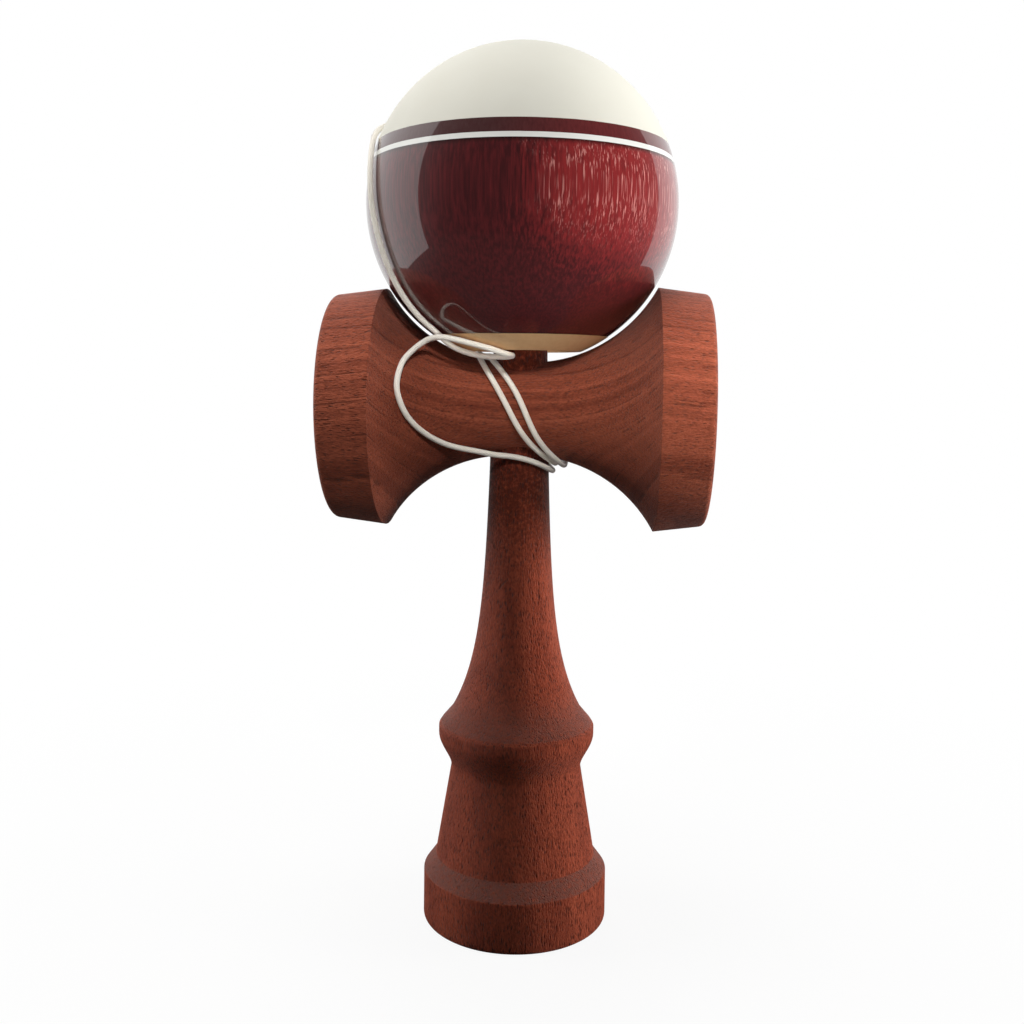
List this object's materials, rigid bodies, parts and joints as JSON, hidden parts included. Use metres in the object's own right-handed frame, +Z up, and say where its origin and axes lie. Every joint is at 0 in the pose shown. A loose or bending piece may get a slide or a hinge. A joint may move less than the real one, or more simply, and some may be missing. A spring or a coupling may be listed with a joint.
{
  "type": "cup and ball toy",
  "caption": "Turned wooden kendama: a lacquered ball tied by a string sits on the spike of a handle with a base cup and a double-cupped crosspiece",
  "frame": {"origin": "centre of the base, on the surface that the toy stands on", "axes": "+Z up along the handle, +X along the crosspiece towards the big cup, -Y towards the front where the string's loop lies"},
  "size_m": [0.0726, 0.06, 0.1746],
  "materials": {
    "wood": "open-pored reddish brown hardwood, bare matte surface",
    "lacquer": "dark red lacquer under a gloss clear coat, with a cream cap and a white pinstripe",
    "bead": "pale plain wood",
    "string": "white braided string"
  },
  "bodies": {
    "handle": {"handle": "wood"},
    "crosspiece": {"crosspiece": "wood", "crosspiece_knot": "string", "string_loop": "string", "string_winding": "string"},
    "bead": {"bead": "bead", "ball_knot": "string", "string_in_ball": "string", "string_over_ball": "string"},
    "ball": {"ball": "lacquer"}
  },
  "joints": [
    {"name": "crosspiece_pull_off", "type": "slide", "parent": "handle", "child": "crosspiece", "axis": [0, 0, 1], "range_m": [0, 0.06]},
    {"name": "ball_lift", "type": "slide", "parent": "crosspiece", "child": "bead", "axis": [0, 0, 1], "range_m": [0, 0.06], "deforming": ["string_over_ball"]},
    {"name": "ball_spin", "type": "hinge", "parent": "bead", "child": "ball", "pos_m": [0, 0, 0.1433], "axis": [0, 0, 1], "continuous": true}
  ]
}
